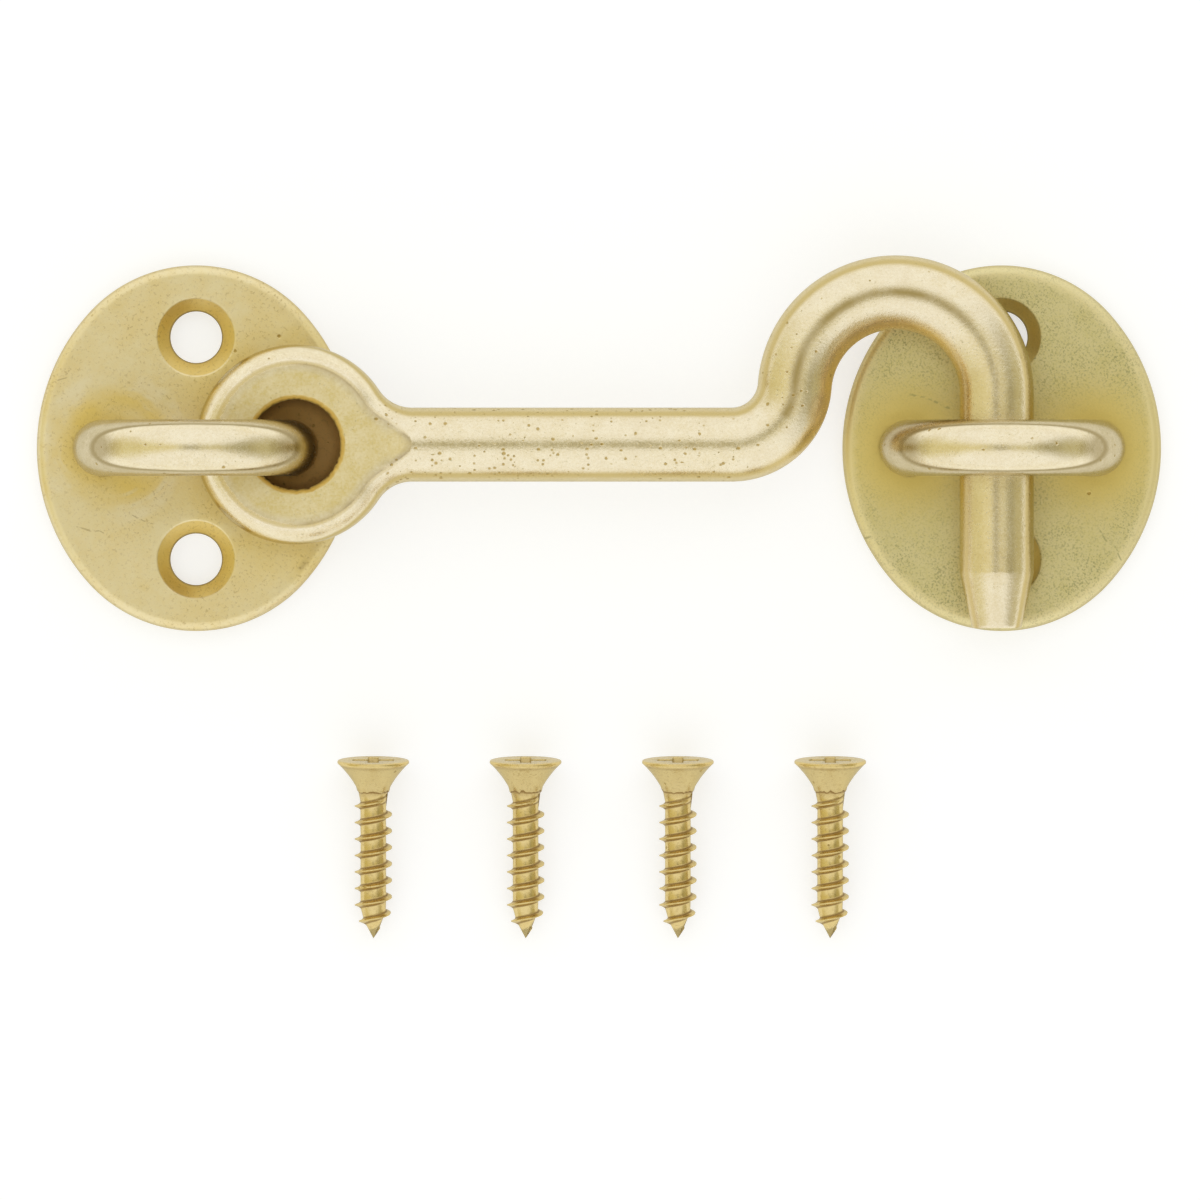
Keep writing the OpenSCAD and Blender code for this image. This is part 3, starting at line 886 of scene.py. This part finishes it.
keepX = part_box("keep_plate")[0].x / mm + plateShape["width"] / 2
# the warm colour paints warm reflection and shade, the dark brown one dirt and painted shade
commonLook = dict(
    pale=(0.82, 0.715, 0.49), golden=(0.60, 0.47, 0.19), goldenAmount=0.95, cloud=(0.80, 0.67, 0.36),
    matte=(0.78, 0.645, 0.275), grain=(0.96, 0.88, 0.67), rub=(0.92, 0.84, 0.62), edge=(0.76, 0.73, 0.60),
    speck=(0.34, 0.29, 0.12), pit=(0.47, 0.32, 0.075), dirtAndShade=(0.13, 0.065, 0.018), warm=(0.89, 0.61, 0.15),
    coat=0.2, coatRoughness=0.2, roughness=0.22, grainScale=4200.0, grainAmount=0.7, grainHeight=0.02,
    pitScale=2300.0, pitShare=0.2, pitSize=0.38, pitHeight=0.05, cloudScale=150.0, cloudAmount=0.3,
    speckScale=3600.0, speckShare=0.35, speckAmount=0.4, speckDepth=0.004, clearing=0.0, dirtAndShadeAmount=0.95,
    matteAmount=0.9, warmAmount=0.95, pitAmount=0.85, scratchAmount=0.5, dirtAndShadeGloss=0.15, warmLightCover=0.7,
    dirtAndShadeCover=0.9, grainRough=0.06, speckRough=0.15, dirtAndShadeRough=0.25, matteRough=0.24, rings=(), scratches=())

hookFinish = brassFinish("satinHookBrass", {**commonLook, "grainHeight": 0.032})
# the staples' dark golden paints their side shade and loop-end shade, partly patina
stapleFinish = brassFinish("satinStapleBrass", {**commonLook, "golden": (0.36, 0.28, 0.13), "pitShare": 0.1})
# the plate's warm colour paints the shadow under the eye's bore
plateFinish = brassFinish("tarnishedPlateBrass", {
    **commonLook, "pale": (0.88, 0.77, 0.46), "golden": (0.87, 0.67, 0.20), "cloud": (0.83, 0.66, 0.28),
    "warm": (0.72, 0.44, 0.15), "speck": (0.40, 0.29, 0.10), "grain": (0.90, 0.82, 0.60), "pitShare": 0.015,
    "roughness": 0.38, "cloudAmount": 0.6, "cloudScale": 230.0, "speckShare": 0.45, "grainAmount": 0.25,
    "rings": ((-7.2, 0.1, 5.4, 0.35, 0.6), (-7.2, 0.1, 6.2, 0.9, 0.45), (-7.6, 0.3, 4.6, 0.25, 0.5)),
    "scratches": ((-12.3, 6.0, 20, 2.0, 0.08), (-5.0, -6.2, -25, 3.0, 0.08), (-9.5, -7.3, -12, 3.2, 0.09),
                  (-3.0, 4.8, -40, 1.6, 0.08))})
keepFinish = brassFinish("greenedKeepBrass", {
    **commonLook, "pale": (0.71, 0.635, 0.30), "golden": (0.80, 0.63, 0.19), "cloud": (0.63, 0.565, 0.25),
    "matte": (0.97, 0.86, 0.50), "goldenAmount": 0.85, "speck": (0.26, 0.26, 0.11), "pitShare": 0.01,
    "roughness": 0.38, "speckScale": 5400.0, "grain": (0.90, 0.82, 0.60), "grainAmount": 0.25,
    "speckShare": 0.54, "speckAmount": 0.6, "clearing": 0.9,
    "scratches": ((keepX - 6.3, 4.2, -16, 4.6, 0.13), (keepX + 9.0, -7.7, -52, 2.6, 0.12),
                  (keepX + 10.3, -9.4, -58, 1.6, 0.1), (keepX - 12.0, -8.0, 25, 1.4, 0.12))})
screwFinish = brassFinish("platedScrewBrass", {
    **commonLook, "pale": (0.77, 0.60, 0.25), "golden": (0.60, 0.48, 0.22), "cloud": (0.73, 0.54, 0.20),
    "speck": (0.46, 0.33, 0.12), "dirtAndShade": (0.26, 0.135, 0.032), "grain": (0.84, 0.72, 0.42),
    "roughness": 0.2, "speckShare": 0.5, "pitShare": 0.12, "pitScale": 2200.0, "goldenAmount": 0.9,
    "grainAmount": 0.25})
print("brass finishes made")


# marks on the plates' faces, placed by the staple's legs and by the hook's eye
legX, legEdge = stapleShape["loopRadius"], stapleShape["wireRadius"]
eyeX, eyeY = hookShape["eyePlace"][:2]
hookPlateWearAndPaintedLight = dict(
    disc=0.95, discX=-7.0, discRadius=5.9, eyeRing=0.5, eyeRingRadius=9.6, legReflection=0.8, boreShadowRadius=4.8,
    boreShadowPits=2.5, rimDirt=0.3, rimPlace=0.93, rimAngle=47)
keepPlateWearAndPaintedLight = dict(between=0.8, betweenWidth=3.6, legReflectionWidth=3.4, rimMatte=0.6, rimPlace=0.925)
fewPits = 0.2


# 0 at the plate's middle, 1 at its outline
def outward(x, y):
    return math.hypot(x / (plateShape["width"] / 2), y / (plateShape["length"] / 2))


# painted contact shadow in the crease at the foot of a leg, broken up unevenly
def footShadow(x, y, near):
    patchy = clamp(0.5 + 1.8 * lumps(x * 0.4, y * 0.4, 6.6))
    return 0.4 * patchy * bell(near - legEdge, 0.1)


# golden patina and painted reflection of the staple round one leg, a painted golden reflection round the
# eye's outline, a painted shadow under the eye's bore, dirt near the rim
def hookPlateMarks(x, y):
    w = hookPlateWearAndPaintedLight
    near = math.hypot(x + legX, y)
    patch = 0.85 + 0.9 * lumps(x * 0.35, y * 0.35, 3.3)
    disc = clamp((w["discRadius"] - math.hypot(x - w["discX"], y)) / 1.6)
    eye = bell(math.hypot(x - eyeX, y) - w["eyeRingRadius"], 2.2)
    golden = max(w["disc"] * disc, w["eyeRing"] * eye) * min(1.0, max(0.3, patch))
    golden = max(golden, w["legReflection"] * bell(near - legEdge, 1.6))
    # painted shadow on the plate under the eye's bore: warm brown, darker in a ring towards its edge
    underEye = math.hypot(x - eyeX, y - eyeY)
    boreShadow = clamp((w["boreShadowRadius"] - underEye) / 0.5)
    boreShade = boreShadow * min(0.6, max(0.0, (underEye - 3.4) / 1.2))
    rim = bell(outward(x, y) - w["rimPlace"], 0.014)
    arc = bell(abs(math.degrees(math.atan2(y, x))) - w["rimAngle"], 15)
    rimDirt = w["rimDirt"] * rim * arc * clamp(0.6 + 0.8 * lumps(x, y, 8.8))
    dirtAndShade = max(footShadow(x, y, near), boreShade, rimDirt)
    return golden, dirtAndShade, fewPits + w["boreShadowPits"] * boreShadow, 0.0, boreShadow


# golden painted reflection of the staple round both legs, a golden band between them, and a paler rim
def keepPlateMarks(x, y):
    w = keepPlateWearAndPaintedLight
    near = min(math.hypot(x + legX, y), math.hypot(x - legX, y))
    between = w["between"] * bell(y, w["betweenWidth"]) if abs(x) < legX else 0.0
    golden = max(between, bell(max(0.0, near - legEdge), w["legReflectionWidth"]))
    rim = clamp((outward(x, y) - w["rimPlace"]) / 0.025)
    return golden, footShadow(x, y, near), fewPits, w["rimMatte"] * rim, 0.0


hookPlate = buildPlate("plateOfHook", 0.0, hookPlateMarks, 1.0)
dress(hookPlate, "hook_plate", "hook_base", plateFinish)
keepPlate = buildPlate("plateOfKeep", keepX, keepPlateMarks, 5.0)
dress(keepPlate, "keep_plate", "keep", keepFinish)
dress(buildStaple("stapleOfHook", 0.0, 2.0), "hook_staple", "hook_base", stapleFinish)
dress(buildStaple("stapleOfKeep", keepX, 8.0), "keep_staple", "keep", stapleFinish)
dress(buildHook("cabinHook"), "hook", "hook", hookFinish)
for number in (1, 2, 3, 4):
    node = "screw_%d" % number
    dress(buildScrew("woodScrew%d" % number, number), node, node, screwFinish)

# Floor, white for the camera and in reflections, with the soft shadow left on it
floorLook = dict(size=3.0, drop=0.0001, albedo=(0.49, 0.5, 0.52), lift=0.62)


def makeFloor():
    half = floorLook["size"] / 2
    mesh = bpy.data.meshes.new("floorSheet")
    corners = [(-half, -half), (half, -half), (half, half), (-half, half)]
    mesh.from_pydata([(x, y, -floorLook["drop"]) for x, y in corners], [], [(0, 1, 2, 3)])
    floor = bpy.data.objects.new("floorSheet", mesh)
    bpy.context.scene.collection.objects.link(floor)
    material = bpy.data.materials.new("whiteFloor")
    material.use_nodes = True
    tree = material.node_tree
    shader = tree.nodes["Principled BSDF"]
    shader.inputs["Base Color"].default_value = (*floorLook["albedo"], 1)
    shader.inputs["Roughness"].default_value = 1.0
    shader.inputs["Specular IOR Level"].default_value = 0.0
    path = tree.nodes.new("ShaderNodeLightPath")
    seen = math2(tree, "ADD", path.outputs["Is Camera Ray"], path.outputs["Is Glossy Ray"])
    seen = math2(tree, "ADD", seen, path.outputs["Is Transmission Ray"], True)
    glow = tree.nodes.new("ShaderNodeEmission")
    tree.links.new(math2(tree, "MULTIPLY", seen, floorLook["lift"]), glow.inputs["Strength"])
    total = tree.nodes.new("ShaderNodeAddShader")
    tree.links.new(shader.outputs[0], total.inputs[0])
    tree.links.new(glow.outputs[0], total.inputs[1])
    tree.links.new(total.outputs[0], tree.nodes["Material Output"].inputs["Surface"])
    floor.data.materials.append(material)


# Light tent: two bright long walls, and between them a dim strip overhead where the camera looks in
tentLook = dict(
    wall=(1.0, 1.0, 1.0), white=(1.0, 1.0, 1.0), band=(0.95, 0.91, 0.82), bandTop=0.12, bandBottom=0.02,
    stripHalf=0.2, stripSpread=0.95, stripFade=1.5, stripTint=(1.0, 0.91, 0.52),
    strip=((-1.0, 0.72), (-0.42, 0.78), (-0.26, 0.76), (-0.12, 0.26), (0.01, 0.26), (0.12, 0.68),
           (0.36, 0.64), (0.52, 0.50), (0.64, 0.34), (0.76, 0.38), (0.90, 0.54), (1.0, 0.54)))


def makeTent():
    world = bpy.data.worlds.new("lightTent")
    bpy.context.scene.world = world
    world.use_nodes = True
    tree = world.node_tree
    background = tree.nodes["Background"]
    coords = tree.nodes.new("ShaderNodeTexCoord")
    split = tree.nodes.new("ShaderNodeSeparateXYZ")
    tree.links.new(coords.outputs["Generated"], split.inputs[0])
    x, y, z = split.outputs
    fan = math2(tree, "POWER", math2(tree, "ABSOLUTE", x), 3.0)
    half = math2(tree, "MULTIPLY_ADD", fan, tentLook["stripSpread"], False, tentLook["stripHalf"])
    off = math2(tree, "DIVIDE", math2(tree, "ABSOLUTE", y), half)
    side = ramp(tree, off, 0.0, tentLook["stripFade"])
    band = ramp(tree, z, tentLook["bandBottom"], tentLook["bandTop"], 1.0, 0.0)
    strip = tree.nodes.new("ShaderNodeValToRGB")
    strip.color_ramp.interpolation = "EASE"
    while len(strip.color_ramp.elements) < len(tentLook["strip"]):
        strip.color_ramp.elements.new(0.5)
    for element, (place, level) in zip(strip.color_ramp.elements, tentLook["strip"]):
        element.position = (place + 1) / 2
        element.color = (*[level * tint for tint in tentLook["stripTint"]], 1)
    tree.links.new(math2(tree, "MULTIPLY_ADD", x, 0.5, False, 0.5), strip.inputs[0])
    light = mixColor(tree, side, strip.outputs[0], tentLook["wall"])
    light = mixColor(tree, math2(tree, "MULTIPLY", band, side), light, tentLook["band"])
    path = tree.nodes.new("ShaderNodeLightPath")
    light = mixColor(tree, path.outputs["Is Camera Ray"], light, tentLook["white"])
    tree.links.new(light, background.inputs["Color"])
    background.inputs["Strength"].default_value = 1.0


# Camera straight above, with a long lens as the photo has hardly any perspective
cameraLook = dict(centre=(36.0, -13.53), frameWidth=106.8, level=6.0, lens=1000.0)


def makeCamera():
    data = bpy.data.cameras.new("overheadCamera")
    data.lens = cameraLook["lens"]
    data.sensor_width = 36.0
    camera = bpy.data.objects.new("overheadCamera", data)
    distance = cameraLook["frameWidth"] * data.lens / data.sensor_width
    x, y = cameraLook["centre"]
    camera.location = (x * mm, y * mm, (cameraLook["level"] + distance) * mm)
    bpy.context.scene.collection.objects.link(camera)
    bpy.context.scene.camera = camera


makeFloor()
makeTent()
makeCamera()
bpy.context.scene.view_settings.view_transform = "Standard"
print("floor, tent and camera made")
